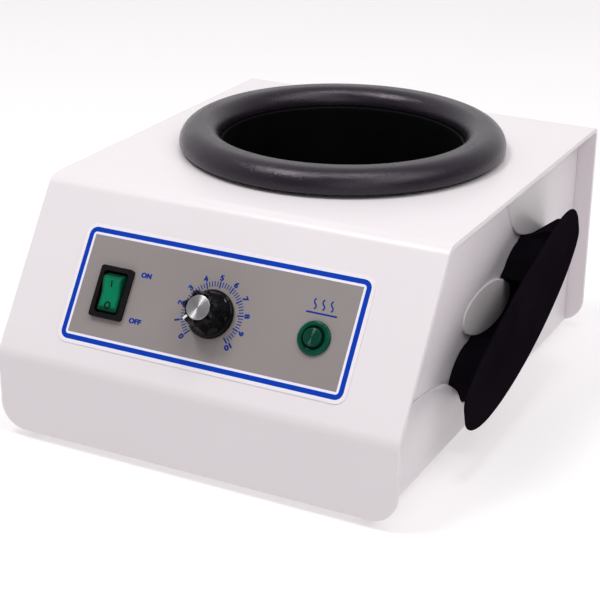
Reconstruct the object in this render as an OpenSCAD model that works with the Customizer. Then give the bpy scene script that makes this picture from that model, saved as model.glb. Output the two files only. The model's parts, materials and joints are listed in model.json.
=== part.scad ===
// Dry block heater: a folded sheet-metal case with a sloping control face, a round heated well
// under a moulded collar ring, and a leaf-shaped carrying handle on each side.
// The origin is on the standing plane, under the middle of the object. +Y points to the rear.

/* [Case] */
// Width of the folded case
case_w = 180; // [178:1:184]
// Depth of the folded case
case_d = 222; // [222:1:228]
// Height of the folded case without the feet
case_h = 98; // [98:1:99]
// Height of the upright strip below the sloping face
front_h = 34; // [33:1:35]
// Horizontal run of the sloping face
slope_run = 43; // [42:1:44]
// How far the side cheeks sit inside the case edge
cheek_inset = 8; // [7:0.5:9]

/* [Well] */
// Inner radius of the heated well
well_r = 53; // [50:0.5:53]
// Height of the well floor above the case bottom
well_floor = 38; // [38:1:42]
// Outer radius of the collar ring
ring_r = 72; // [70:0.1:73]
// Height of the collar ring above the case top
ring_h = 11.1; // [11:0.1:12.5]

/* [Controls] */
// Distance of the control centres up the sloping face
ctrl_s = 33; // [32.5:0.5:34]
// Side offset of the rocker switch
switch_x = -45; // [-46:0.5:-44]
// Side offset of the dial
dial_x = 1; // [0:0.5:2]
// Side offset of the indicator lamp
lamp_x = 46; // [45:0.5:47]
// Angle between the two rocker positions
rocker_travel = 18; // [16:1:18]
// Diameter of the knob skirt
knob_d = 19.8; // [19.4:0.1:20.4]
// Width of the face label
label_w = 130; // [128:1:132]
// Height of the face label
label_h = 50.5; // [49:0.5:51]

/* [Handles] */
// Half length of the handle leaf
leaf_l = 66.5; // [64:0.5:68]
// Half width of the handle leaf
leaf_b = 18.4; // [17:0.2:19]
// Outer face of the handle leaf, from the middle of the case
leaf_x = 100; // [99:0.5:101]

/* [Feet] */
// Height of the rubber feet below the case
foot_h = 3.5; // [3.5:0.1:4]
// Diameter of the rubber feet
foot_d = 16; // [15:0.5:17]

/* [Hidden] */

$fn = 72;
sheet = 2;                       // case sheet thickness
half_w = case_w / 2;
cheek_x = half_w - cheek_inset;  // outer face of the side cheeks
cheek_t = 4;                     // thickness of the side cheeks
recess = 2;                      // depth of the scalloped recess
slope_a = atan2(case_h - front_h, slope_run);
well_y = 136.4;                  // centre of the well
inlet_x = 45;
inlet_z = 32;
inlet_out = 2.6;                 // flange thickness behind the case
mid_y = (case_d + inlet_out) / 2;
label_t = 0.3;
pivot_h = -2.2;                  // rocker pivot below the sheet face
rocker_r = 8.45;
post_a = [149, 55.5];            // handle screws, in (y, z)
post_b = [88.5, 28];
foot_xy = [[62, 20], [62, 200], [-62, 20], [-62, 200]];
base_xy = [[40, 12], [-40, 12], [40, 210], [-40, 210], [0, 12], [0, 210]];
collar_a = [45, 135, 225, 315];
cheek_fix = [[60, 10], [170, 10], [73, 78]];   // cheek fixings, in (y, z)

// ---- helpers ----
function unit(v) = v / norm(v);
// arc that rounds the corner p1 between p0 and p2
function corner(p0, p1, p2, r, n) =
    let (a = unit(p0 - p1), b = unit(p2 - p1), h = acos(a * b) / 2, t = r / tan(h),
         c = p1 + unit(a + b) * r / sin(h), s = p1 + a * t, e = p1 + b * t,
         a0 = atan2(s.y - c.y, s.x - c.x), a1 = atan2(e.y - c.y, e.x - c.x),
         d = (a1 - a0 + 540) % 360 - 180)
    [for (i = [0:n]) c + r * [cos(a0 + d * i / n), sin(a0 + d * i / n)]];
function round_poly(p, r, n = 8) = let (m = len(p))
    [for (i = [0:m - 1]) each (r[i] > 0
        ? corner(p[(i + m - 1) % m], p[i], p[(i + 1) % m], r[i], n) : [p[i]])];
// smooth open curve through the points
function spline(p, k = 4) = let (m = len(p)) concat(
    [for (i = [0:m - 2]) let (a = p[max(i - 1, 0)], b = p[i], c = p[i + 1], d = p[min(i + 2, m - 1)])
        for (j = [0:k - 1]) let (t = j / k)
            0.5 * (2 * b + (c - a) * t + (2 * a - 5 * b + 4 * c - d) * t * t
                + (3 * b - 3 * c + d - a) * t * t * t)],
    [p[m - 1]]);
function ellipse(c, a, b, tilt, n = 64) = [for (i = [0:n - 1]) let (w = 360 * i / n,
    u = a * cos(w), v = b * sin(w)) c + [u * cos(tilt) - v * sin(tilt), u * sin(tilt) + v * cos(tilt)]];

// profile of the case in (y, z), taken t inside the outer face
function case_line(t, zb) = round_poly([
    [t, zb],
    [t, front_h - t * tan((90 - slope_a) / 2)],
    [slope_run + t * tan(slope_a / 2), case_h - t],
    [case_d - t, case_h - t],
    [case_d - t, zb]], [0, 8.5 - t, 7.5 - t, 4 - t, 0]);

// the whole object stands on its feet, centred over the origin
module stand() { translate([0, -mid_y, foot_h]) children(); }
// frame of the sloping face: x across, y up the slope, z out of the face
module slope() { translate([0, 0, front_h]) rotate([slope_a, 0, 0]) children(); }
// extrude a (y, z) outline from x0 to x1
module along_x(x0, x1) { translate([x0, 0, 0]) rotate([90, 0, 90]) linear_extrude(x1 - x0) children(); }
module both_sides() { children(); mirror([1, 0, 0]) children(); }
// round rod between two heights on the z axis
module rod(r, z0, z1) { translate([0, 0, z0]) cylinder(r = r, h = z1 - z0); }
module rod_x(r, x0, x1, y, z) { translate([x0, y, z]) rotate([0, 90, 0]) cylinder(r = r, h = x1 - x0); }
module rod_y(r, y0, y1, x, z) { translate([x, y0, z]) rotate([-90, 0, 0]) cylinder(r = r, h = y1 - y0); }
module box(a, b) { translate(a) cube(b - a); }
module well_at() { translate([0, well_y, 0]) children(); }
module rounded(w, h, r) { translate([-w / 2, -h / 2]) polygon(round_poly([[0, 0], [w, 0], [w, h], [0, h]], [r, r, r, r], 6)); }
// ring of revolution from an (r, z) outline
module turned(p) { rotate_extrude() polygon(p); }
// pan-head screw, head upward from z = 0, shank downward
module screw_up(d, len, hd, hh) { rod(d / 2, -len, 0.1); difference() { rod(hd / 2, 0, hh); box([-hd * 0.36, -0.4, hh - 0.6], [hd * 0.36, 0.4, hh + 1]); box([-0.4, -hd * 0.36, hh - 0.6], [0.4, hd * 0.36, hh + 1]); } }

// swept round lead through hand-set points
module lead(pts, r, sides = 8) {
    p = spline(pts, 4);
    m = len(p);
    function tang(i) = unit(p[min(i + 1, m - 1)] - p[max(i - 1, 0)]);
    ref = [0.31, 0.17, 0.93];
    ring = [for (i = [0:m - 1]) let (t = tang(i), u = unit(cross(ref, t)), v = cross(t, u))
        for (j = [0:sides - 1]) p[i] + r * (cos(360 * j / sides) * u + sin(360 * j / sides) * v)];
    faces = concat(
        [[for (j = [0:sides - 1]) sides - 1 - j]],
        [for (i = [0:m - 2]) for (j = [0:sides - 1])
            [i * sides + j, i * sides + (j + 1) % sides, (i + 1) * sides + (j + 1) % sides, (i + 1) * sides + j]],
        [[for (j = [0:sides - 1]) (m - 1) * sides + j]]);
    polyhedron(ring, [for (f = faces) [for (k = [len(f) - 1:-1:0]) f[k]]], convexity = 6);
}

// ---- case ----
module outer_shell() {
    color("whitesmoke") stand() difference() {
        union() {
            intersection() {
                along_x(-half_w, half_w) difference() {
                    polygon(case_line(0, 0));
                    polygon(case_line(sheet, -1));
                }
                // rounded free corners at the bottom of the front and back
                translate([0, case_d + 5, 0]) rotate([90, 0, 0]) linear_extrude(case_d + 10)
                    polygon(round_poly([[-half_w, 0], [half_w, 0], [half_w, case_h + 5], [-half_w, case_h + 5]],
                        [11, 11, 0, 0]));
            }
            // inward lips that carry the base plate
            box([-75, 1, 0], [75, 28, sheet]);
            box([-75, case_d - 28, 0], [75, case_d - 1, sheet]);
        }
        // opening for the well
        well_at() rod(well_r + 6.5, case_h - 10, case_h + 5);
        for (a = collar_a) well_at() rotate(a) translate([62.5, 0, 0]) rod(2.2, case_h - 10, case_h + 5);
        slope() {
            translate([switch_x, ctrl_s, -3]) linear_extrude(6) square([12.9, 19.2], center = true);
            translate([dial_x, ctrl_s, 0]) rod(5.1, -4, 3);
            translate([lamp_x, ctrl_s - 0.5, 0]) rod(5.1, -4, 3);
        }
        for (p = base_xy) translate([p.x, p.y, 0]) rod(1.7, -1, sheet + 1);
        for (p = foot_xy) translate([p.x, p.y, 0]) rod(2.2, -1, sheet + 1);
        // inlet opening and its screw holes
        box([inlet_x - 13.9, case_d - 4, inlet_z - 10.1], [inlet_x + 13.9, case_d + 2, inlet_z + 10.1]);
        for (s = [-20, 20]) rod_y(1.8, case_d - 4, case_d + 2, inlet_x + s, inlet_z);
        // cooling slots in the back
        for (k = [0:8], r = [0, 1]) translate([-68 + 9 * k, case_d - 4, 58 - 26 * r])
            rotate([-90, 0, 0]) linear_extrude(8) {
                translate([0, -8]) circle(r = 1.6);
                translate([0, 8]) circle(r = 1.6);
                square([3.2, 16], center = true);
            }
    }
}
module base_plate() {
    color("silver") stand() difference() {
        union() {
            box([-75.4, 4, sheet], [75.4, case_d - 4, sheet + 1.5]);
            both_sides() box([73.9, 34, sheet], [75.4, case_d - 34, 17]);
        }
        for (p = base_xy) translate([p.x, p.y, 0]) rod(1.45, 0, 6);
        for (p = foot_xy) translate([p.x, p.y, 0]) rod(2.2, 0, 6);
        both_sides() for (i = [0, 1]) rod_x(2.2, 70, 80, cheek_fix[i].x, cheek_fix[i].y);
        // cooling slots under the well
        for (k = [-4:4]) translate([9 * k, 136, 0]) linear_extrude(8) {
            translate([0, -22]) circle(r = 1.8);
            translate([0, 22]) circle(r = 1.8);
            square([3.6, 44], center = true);
        }
        for (x = [-46, 46], y = [96, 176]) translate([x, y, 0]) rod(1.45, 0, 6);
        for (x = [-40, 40]) translate([x, 60, 0]) rod(1.45, 0, 6);
        translate([60, 182, 0]) rod(2.05, 0, 6);
    }
}

// ---- side cheeks ----
// outline of the scalloped recess, in (y, z): along the front pad, under the web, along the rear pad
recess_line = concat(
    [[-6, 104], [-6, 37.4]],
    spline([[1, 37.4], [18, 37.2], [31, 36.4], [38, 35.4], [48, 34.2], [56, 32.3], [65, 30], [69, 28], [74, 25],
        [78, 22], [81, 18.6], [83.2, 15.3], [85, 13.4], [87.4, 12.6], [90.4, 13.1]], 3),
    spline([[96, 16.4], [104, 22], [114, 28], [126, 33.5], [140, 40], [154, 46.5], [168, 51.5], [174, 54.4], [177.6, 57.4]], 3),
    spline([[178.2, 60], [174.5, 61.5], [168, 62.5], [158, 64.5], [149, 67], [144, 69], [140, 71.5], [135.5, 75],
        [132, 79.5], [129, 84.5], [126, 89.5], [124, 97]], 3),
    [[124, 104]]);
mid_pad = ellipse([109.6, 47.5], 27.6, 10.6, -7);
module cheek() {
    along_x(cheek_x - cheek_t, cheek_x - recess) polygon(case_line(sheet + 0.2, 0.2));
    along_x(cheek_x - recess - 0.01, cheek_x) {
        difference() {
            polygon(case_line(sheet + 0.2, 0.2));
            polygon(recess_line);
        }
        polygon(mid_pad);
    }
    for (f = cheek_fix) rod_x(4.2, 76, cheek_x - cheek_t + 0.01, f.x, f.y);
}
module side_panel_right() {
    color("whitesmoke") stand() difference() {
        cheek();
        for (f = cheek_fix) rod_x(1.6, 70, cheek_x - 2.6, f.x, f.y);
        for (p = [post_a, post_b]) rod_x(2.2, 70, cheek_x + 5, p.x, p.y);
    }
}
module side_panel_left() {
    color("whitesmoke") stand() mirror([1, 0, 0]) difference() {
        cheek();
        for (f = cheek_fix) rod_x(1.6, 70, cheek_x - 2.6, f.x, f.y);
        for (p = [post_a, post_b]) rod_x(2.2, 70, cheek_x + 5, p.x, p.y);
    }
}
module side_panel_screws() {
    color("silver") stand() both_sides() for (i = [0:2]) {
        f = cheek_fix[i];
        x = i < 2 ? 73.9 : 74.3;
        rod_x(1.5, x - 0.1, cheek_x - 2.8, f.x, f.y);
        rod_x(3, x - 2, x, f.x, f.y);
    }
}

// ---- handles ----
function leaf(inset) = let (tilt = 19.4, n = 60) [for (i = [0:n - 1]) let (w = 360 * i / n,
    u = (leaf_l - inset) * cos(w), s = sin(w),
    v = s > 0 ? (leaf_b + 2.4 - inset) * pow(s, 0.42) : -(leaf_b - inset) * pow(-s, 1.2))
    [113.6, 42.6] + [u * cos(tilt) - v * sin(tilt), u * sin(tilt) + v * cos(tilt)]];
// recess outline with clearance, limited to the two round posts and a band between them
module handle_foot(band) {
    difference() {
        intersection() {
            offset(delta = -0.3) polygon(recess_line);
            union() {
                translate([148.5, 41.7]) circle(r = 22.9);
                translate([91.3, 16.9]) circle(r = 21.6);
                polygon(band);
            }
        }
        polygon(ellipse([109.6, 47.5], 27.9, 10.9, -7));
    }
}
module handle() {
    difference() {
        union() {
            hull() {
                along_x(leaf_x - 5, leaf_x - 4.6) polygon(leaf(3.6));
                along_x(leaf_x - 4, leaf_x - 3.8) polygon(leaf(1.2));
                along_x(leaf_x - 3, leaf_x - 2.2) polygon(leaf(0));
                along_x(leaf_x - 1.4, leaf_x - 1.2) polygon(leaf(0.9));
                along_x(leaf_x - 0.6, leaf_x - 0.5) polygon(leaf(2.4));
                along_x(leaf_x - 0.1, leaf_x) polygon(leaf(6));
            }
            // base flange that fills the scalloped recess, then the web that carries the leaf
            along_x(cheek_x - recess, cheek_x + 0.6) handle_foot(
                [[88, 5], [104, 14], [146, 36], [190, 52], [196, 64], [176, 70], [150, 66], [84, 34]]);
            along_x(cheek_x, leaf_x - 4) intersection() {
                handle_foot([[86, 15], [100, 16], [146, 38], [164, 46], [171, 54], [166, 66], [150, 66], [84, 34]]);
                polygon(leaf(2.4));
            }
            // gusset that runs the web out into the upper end of the leaf
            hull() {
                along_x(cheek_x + 1, cheek_x + 1.3) polygon([[150, 57], [163, 55], [178, 60], [179.5, 60.9], [163.4, 63.2], [150, 66.2]]);
                along_x(leaf_x - 9, leaf_x - 4) polygon([[150, 57], [164, 54], [172.5, 61], [172.5, 67.5], [169, 70], [150, 70.4]]);
            }
        }
        for (p = [post_a, post_b]) rod_x(1.7, cheek_x - 4, leaf_x - 6, p.x, p.y);
    }
}
module handle_right() { color([0.1, 0.09, 0.1]) stand() handle(); }
module handle_left() { color([0.1, 0.09, 0.1]) stand() mirror([1, 0, 0]) handle(); }
module handle_screws() {
    color("silver") stand() both_sides() for (p = [post_a, post_b]) {
        rod_x(1.6, cheek_x - cheek_t - 0.1, leaf_x - 7, p.x, p.y);
        rod_x(3.6, cheek_x - cheek_t - 2.4, cheek_x - cheek_t, p.x, p.y);
    }
}

// ---- collar ring and well ----
module collar_ring() {
    z0 = case_h;
    z1 = case_h + ring_h;
    ri = well_r + 1.2;
    color([0.35, 0.33, 0.35]) stand() well_at() difference() {
        turned(concat(
            [[well_r + 2.3, z0 + 1.7], [well_r + 2.3, z0 + 3.4], [ri, z0 + 3.8]],
            [for (i = [0:9]) [ri + 7, z1 - 7] + 7 * [-cos(90 * i / 9), sin(90 * i / 9)]],
            [for (i = [0:10]) [ring_r - 8, z1 - 8] + 8 * [sin(90 * i / 10), cos(90 * i / 10)]],
            [for (i = [1:5]) [ring_r - 1.8, z1 - 8] + 1.8 * [cos(80 * i / 5), -sin(80 * i / 5)]],
            [[well_r + 14.3, z0 + 1.2], [well_r + 14.3, z0], [well_r + 13.4, z0], [well_r + 13.4, z0 + 1.7]]));
        for (a = collar_a) rotate(a) translate([62.5, 0, 0]) rod(1.45, z0 - 1, z1 - 4);
    }
}
module collar_screws() {
    color("silver") stand() well_at() for (a = collar_a) rotate(a) translate([62.5, 0, 0]) {
        rod(1.4, case_h - sheet - 0.1, case_h + ring_h - 5);
        rod(3, case_h - sheet - 2, case_h - sheet);
    }
}
module heating_well() {
    w = 2;
    color([0.08, 0.08, 0.08]) stand() well_at() difference() {
        turned(concat(
            [[0, well_floor - w], [well_r + w - 4, well_floor - w]],
            [for (i = [1:6]) [well_r + w - 4, well_floor - w + 4] + 4 * [sin(15 * i), -cos(15 * i)]],
            [[well_r + w, case_h], [well_r + 13.2, case_h], [well_r + 13.2, case_h + 1.5], [well_r + w, case_h + 1.5],
             [well_r + w, case_h + 3], [well_r, case_h + 3]],
            [for (i = [0:5]) [well_r - 3, well_floor + 3] + 3 * [cos(18 * i), -sin(18 * i)]],
            [[0, well_floor]]));
        for (a = collar_a) rotate(a) translate([62.5, 0, 0]) rod(2.2, case_h - 1, case_h + 3);
    }
}
band_r = well_r + 2.2;
module band_heater() {
    color("lightsteelblue") stand() well_at() {
        difference() {
            turned([[band_r, 45], [band_r + 2.3, 45], [band_r + 2.3, 86], [band_r, 86]]);
            box([-7, -80, 40], [7, 0, 90]);
        }
        // clamp lugs at the split
        difference() {
            both_sides() box([7, -66.5, 60], [8.4, -band_r - 1.2, 72]);
            rod_x(1.7, -20, 20, -63.6, 66);
        }
    }
}
module band_clamp_screw() {
    color("silver") stand() well_at() {
        rod_x(1.5, -12.5, 8.5, -63.6, 66);
        rod_x(2.8, 8.4, 10.6, -63.6, 66);
        translate([-10.8, -63.6, 66]) rotate([0, 90, 0]) cylinder(r = 3.1, h = 2.4, $fn = 6);
    }
}
module heater_terminals() {
    color("ivory") stand() well_at() both_sides() difference() {
        union() {
            translate([24.5, -51.9, 0]) box([-3.4, -9.6, 50], [3.4, 0.4, 58]);
            translate([24.5, -61.5, 54]) rotate([90, 0, 0]) cylinder(r = 2.2, h = 2);
        }
        rod(band_r + 2.35, 40, 90);
    }
}
module insulation_jacket() {
    color("gold") stand() well_at() difference() {
        turned([[band_r + 2.5, 37], [67, 37], [67, 92], [band_r + 2.5, 92]]);
        // window for the clamp and the heater terminals
        box([-31, -80, 30], [31, -20, 100]);
    }
}
module insulation_pad() {
    color("gold") stand() well_at() difference() {
        rod(50, 26.2, well_floor - 2.2);
        rod(13, 20, 40);
    }
}
module well_support() {
    color("silver") stand() well_at() difference() {
        union() {
            box([-52, -46, 24.5], [52, 46, 26]);
            both_sides() box([50.5, -46, 3.5], [52, 46, 26]);
            both_sides() box([40, -46, 3.5], [52, 46, 5]);
        }
        rod(13.5, 20, 30);
        for (x = [-46, 46], y = [96 - 136.4, 176 - 136.4]) translate([x, y, 0]) rod(1.8, 2, 8);
    }
}
module support_screws() {
    color("silver") stand() for (x = [-46, 46], y = [96, 176]) translate([x, y, 5]) screw_up(2.8, 4.5, 6, 2);
}
module thermal_cutout() {
    color("tan") stand() well_at() difference() {
        union() {
            rod(11.5, well_floor - 3.2, well_floor - 2.05);
            rod(8, 27, well_floor - 2.4);
            for (x = [-4.5, 4.5]) box([x - 0.4, -3.1, 16], [x + 0.4, 3.1, 27.2]);
        }
        for (x = [-4.5, 4.5]) translate([x, 0, 19]) rotate([0, 90, 0]) cylinder(r = 0.9, h = 4, center = true);
    }
}
module heat_shield() {
    color("silver") stand() difference() {
        union() {
            box([-73.6, 66, 3.6], [73.6, 67.2, 93.5]);
            box([-75.7, 66, 18], [75.7, 67.2, 93.5]);
            box([-60, 54, 3.6], [60, 67.2, 4.8]);
            both_sides() box([74.5, 66, 20], [75.7, 78, 93.5]);
        }
        both_sides() rod_x(1.8, 70, 80, cheek_fix[2].x + 0, cheek_fix[2].y);
        for (x = [-40, 40]) translate([x, 60, 0]) rod(1.8, 2, 8);
        rod_y(3, 60, 70, 0, 40);
        for (x = [-24.5, 24.5]) rod_y(3.5, 60, 70, x, 54);
        rod_y(5, 60, 70, 45, 20);
        rod_y(3, 60, 70, -30, 66);
    }
}
module shield_screws() {
    color("silver") stand() for (x = [-40, 40]) translate([x, 60, 4.8]) screw_up(2.8, 4.3, 6, 2);
}

// ---- control face ----
module control_label() {
    color([0.57, 0.55, 0.56]) stand() slope() difference() {
        translate([0, 35, 0]) linear_extrude(label_t) rounded(label_w, label_h, 4.5);
        translate([switch_x, ctrl_s, -1]) linear_extrude(3) square([12.9, 19.2], center = true);
        translate([dial_x, ctrl_s, 0]) rod(5.1, -1, 3);
        translate([lamp_x, ctrl_s - 0.5, 0]) rod(5.1, -1, 3);
    }
}
module dial_at() { slope() translate([dial_x, ctrl_s, 0]) children(); }
module thermostat_body() {
    color("gainsboro") stand() dial_at() difference() {
        union() {
            translate([0, 0, -2.05 - 20]) linear_extrude(18) rounded(43, 34, 3);
            rod(7.5, -4.2, -2.05);
            rod(4.9, -4, 3.2);
            both_sides() translate([16, -4, -24]) rod(2.6, -6, 2);
        }
        rod(3.05, -16, 4);
        rod(5, -21, -15);
    }
}
module bush_nut() {
    color("silver") stand() dial_at() difference() {
        translate([0, 0, label_t]) cylinder(r = 7.6, h = 2.2, $fn = 6);
        rod(4.95, 0, 4);
    }
}
module control_shaft() {
    color("silver") stand() dial_at() difference() {
        union() {
            rod(3, -15.5, 10.8);
            rod(4.6, -19.5, -15.5);
        }
        box([1.6, -4, 4.5], [4, 4, 12]);
    }
}
knob_top = 13.5;
module knob() {
    zb = 0.9;
    color([0.09, 0.08, 0.09]) stand() dial_at() difference() {
        union() {
            rotate_extrude() polygon(concat(
                [[0, zb], [knob_d / 2, zb], [knob_d / 2, 2.8]],
                [for (i = [1:5]) [knob_d / 2 - 1, 2.8] + [cos(18 * i), sin(18 * i)]],
                [[8.9, 4.2], [7.7, 11.6], [7.3, 12.5], [6.7, 12.9], [0, 12.9]]));
        }
        // finger flutes
        for (i = [0:6]) rotate(225.5 + 360 * (i + 0.5) / 7) translate([9.4, 0, 13.5])
            rotate([0, 171.5, 0]) cylinder(r = 2.9, h = 9.2);
        // room for the nut and the bush
        rod(8.3, 0, 3.3);
        rod(5.4, 0, 4.2);
        // shaft bore with its flat
        difference() { rod(3.02, 0, 11); box([1.66, -4, 4.8], [4, 4, 12]); }
        // seat of the metal cap
        rod(5.05, 12.3, 14);
    }
}
module knob_cap() {
    color("gainsboro") stand() dial_at() rotate_extrude() polygon([[0, 12.3], [5, 12.3], [5, 13.2], [4.7, 13.5], [0, 13.5]]);
}
module sensor_bulb() {
    color("peru") stand() well_at() translate([0, -band_r - 2.6, 0]) {
        rod(2.2, 46, 84);
        rod(1.2, 43, 46.1);
    }
}
module sensor_capillary() {
    color("peru") stand() lead([[0, well_y - band_r - 2.6, 42.9], [0, 78, 41], [0, 73, 40], [0, 67, 40], [0, 60, 40.5],
        [0.5, 52, 43], [1, 44, 47.6], [1, 38.9, 51.1]], 0.8);
}
module switch_at() { slope() translate([switch_x, ctrl_s, 0]) children(); }
module switch_housing() {
    color([0.14, 0.12, 0.13]) stand() switch_at() difference() {
        union() {
            translate([0, 0, label_t]) linear_extrude(1.8) rounded(15, 21.5, 1.2);
            translate([0, 0, -19]) linear_extrude(19.4) square([12.6, 19], center = true);
        }
        // window and the round pocket that the rocker swings in
        translate([0, 0, pivot_h]) linear_extrude(10) rounded(11.4, 17.5, 1.5);
        translate([0, 0, pivot_h]) rotate([0, 90, 0]) cylinder(r = rocker_r + 0.3, h = 11.4, center = true);
        translate([0, 0, pivot_h]) rotate([0, 90, 0]) cylinder(r = 1.25, h = 20, center = true);
    }
}
// the rocker is drawn at OFF: the upper half stands proud
module switch_rocker() {
    top = 4.15;
    color("seagreen") stand() switch_at() translate([0, 0, pivot_h]) rotate([rocker_travel / 2, 0, 0]) {
        difference() {
            rotate([90, 0, 90]) translate([0, 0, -5.5]) linear_extrude(11) intersection() {
                circle(r = rocker_r);
                polygon([[0, top], [12, top + 12 * tan(9)], [12, -0.5], [5, -4.5], [-5, -4.5], [-12, -0.5],
                    [-12, top + 12 * tan(9)]]);
            }
        }
        rotate([0, 90, 0]) cylinder(r = 1.2, h = 12.4, center = true);
    }
}
module switch_terminals() {
    color("gold") stand() switch_at() for (y = [-6.5, 0, 6.5], x = [-3, 3])
        translate([x, y, 0]) difference() {
            box([-0.4, -2.4, -27], [0.4, 2.4, -19]);
            translate([0, 0, -24.5]) rotate([0, 90, 0]) cylinder(r = 0.8, h = 3, center = true);
        }
}
module lamp_at() { slope() translate([lamp_x, ctrl_s - 0.5, 0]) children(); }
module lamp_body() {
    color([0.1, 0.3, 0.2]) stand() lamp_at() difference() {
        union() {
            rotate_extrude() polygon([[0, label_t], [6.9, label_t], [6.9, 1.1], [6.5, 1.6], [0, 1.6]]);
            rod(4.9, -20, 0.5);
            for (x = [-2.4, 2.4]) box([x - 0.4, -2.4, -27], [x + 0.4, 2.4, -19.9]);
        }
        rod(4.2, -12, 3);
    }
}
module lamp_lens() {
    color("green") stand() lamp_at() rotate_extrude() polygon(concat(
        [[0, -10], [4.1, -10], [4.1, 1.62], [6.1, 1.62]],
        [for (i = [0:6]) [6.1 * cos(15 * i), 1.7 + 1.7 * sin(15 * i)]]));
}
module lamp_nut() {
    color([0.15, 0.15, 0.15]) stand() lamp_at() difference() {
        translate([0, 0, -4.6]) cylinder(r = 7.4, h = 2.5, $fn = 6);
        rod(4.95, -8, 0);
    }
}

// ---- supply side ----
module inlet_socket() {
    color([0.12, 0.12, 0.12]) stand() translate([inlet_x, case_d, inlet_z]) rotate([-90, 0, 0]) difference() {
        union() {
            linear_extrude(inlet_out) rounded(50, 24, 6);
            translate([0, 0, -18]) linear_extrude(18.1) rounded(27.4, 19.8, 3);
        }
        translate([0, 0, -15]) linear_extrude(30) polygon(round_poly([[-12, -8.2], [12, -8.2], [12, 4], [8, 8.2],
            [-8, 8.2], [-12, 4]], [1.5, 1.5, 0.8, 0.8, 0.8, 0.8], 4));
        for (s = [-20, 20]) translate([s, 0, 0]) { rod(1.8, -2, 5); translate([0, 0, inlet_out - 1.6]) cylinder(r1 = 1.8, r2 = 3.4, h = 1.61); }
    }
}
module inlet_pins() {
    color("silver") stand() translate([inlet_x, case_d, inlet_z]) rotate([-90, 0, 0])
        for (p = [[-7, -2], [7, -2], [0, 2]]) translate([p.x, p.y, 0]) {
            box([-1, -2, -15], [1, 2, -1.5]);
            box([-0.4, -2.4, -24], [0.4, 2.4, -18]);
        }
}
module inlet_screws() {
    color("silver") stand() translate([inlet_x, case_d, inlet_z]) rotate([-90, 0, 0]) for (s = [-20, 20])
        translate([s, 0, 0]) {
            rod(1.5, -8, 0.8);
            translate([0, 0, inlet_out - 1.6]) cylinder(r1 = 1.5, r2 = 3.2, h = 1.4);
            translate([0, 0, -4.4]) cylinder(r = 3.1, h = 2.3, $fn = 6);
        }
}
module terminal_block() {
    color("ivory") stand() difference() {
        box([20, 40, 3.6], [56, 52, 17]);
        for (k = [0:3]) translate([24.5 + 9 * k, 46, 0]) { rod(2, 13, 20); rod_y(1.6, 30, 60, 0, 9); }
    }
}
module fuse_holder() {
    color([0.15, 0.15, 0.15]) stand() difference() {
        box([-60, 40, 3.6], [-30, 52, 13]);
        rod_x(2.75, -58, -32, 46, 12);
        box([-51, 38, 8], [-39, 54, 15]);
    }
}
module fuse() {
    color("lightcyan") stand() {
        rod_x(2.2, -56, -34, 46, 12);
        for (x = [-57.8, -37.8]) rod_x(2.6, x, x + 5.6, 46, 12);
    }
}
module earth_stud() {
    color("gold") stand() translate([60, 182, 0]) {
        rod(2, 2, 11);
        translate([0, 0, 3.5]) cylinder(r = 4, h = 3, $fn = 6);
        translate([0, 0, 7]) cylinder(r = 4, h = 3, $fn = 6);
    }
}
module wiring_supply() {
    color("saddlebrown") stand() {
        lead([[52, 197.8, 30], [54, 192, 28], [60, 184, 24], [66.5, 170, 22], [69, 150, 21], [69.5, 120, 21], [68, 90, 21],
            [58, 76, 20], [46, 69, 20], [44, 63, 18], [42.5, 59, 12], [42.5, 56, 9.4], [42.5, 52.3, 9]], 1.3);
        lead([[38, 197.8, 30], [37, 194, 24], [44, 191, 17], [58, 186, 14], [65.5, 172, 13], [67, 150, 13], [67, 125, 13], [66, 100, 13],
            [56, 80, 16], [46, 71, 18], [42, 64, 16], [36, 59, 12], [33.5, 56, 9.4], [33.5, 52.3, 9]], 1.3);
    }
}
module wiring_front() {
    color("royalblue") stand() {
        lead([[51.5, 39.7, 9], [52, 34, 10], [52, 28, 16], [50, 32, 26], [48.8, 38, 35], [48.4, 42.8, 43.8]], 0.9);
        lead([[33.5, 39.7, 9], [33, 34, 10], [28, 28, 15], [21, 32, 24], [18, 39, 32], [17, 43.4, 39.4]], 0.9);
        lead([[24.5, 39.7, 9], [23, 34, 10], [10, 26, 12], [-20, 24, 14], [-38, 27, 20], [-42, 34, 30], [-42, 39.6, 39]], 0.9);
    }
}
module wiring_heater() {
    color("firebrick") stand() {
        lead([[24.5, 72.6, 54], [24.5, 70, 54], [24.5, 66, 54], [25, 62, 52.5], [30, 58, 44], [40, 57, 30], [49, 58, 16],
            [51.5, 57, 10.5], [51.5, 52.3, 9]], 1.1);
        lead([[-24.5, 72.6, 54], [-24.5, 70, 54], [-24.5, 66, 54], [-24, 62, 52.5], [-16, 58, 42], [0, 56.5, 24],
            [16, 59, 13], [23, 58.5, 10.4], [24.5, 55.5, 9.2], [24.5, 52.3, 9]], 1.1);
    }
}

// ---- feet and base fixings ----
module rubber_feet() {
    color([0.2, 0.2, 0.2]) stand() for (p = foot_xy) translate([p.x, p.y, 0]) difference() {
        rotate_extrude() polygon([[0, -foot_h], [foot_d / 2 - 1.5, -foot_h], [foot_d / 2 - 0.6, -foot_h + 0.5], [foot_d / 2, 0], [0, 0]]);
        rod(2.2, -5, 1);
        rod(4.2, -5, -1.2);
    }
}
module foot_screws() {
    color("silver") stand() for (p = foot_xy) translate([p.x, p.y, 0]) {
        rod(2, -1.4, 8.6);
        rod(3.9, -3.1, -1.2);
        translate([0, 0, sheet + 1.5]) cylinder(r = 4, h = 3.2, $fn = 6);
    }
}
module base_screws() {
    color("silver") stand() for (p = base_xy) translate([p.x, p.y, 0]) {
        rod(1.4, -0.1, 7);
        rod(2.8, -1.8, 0);
    }
}

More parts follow.
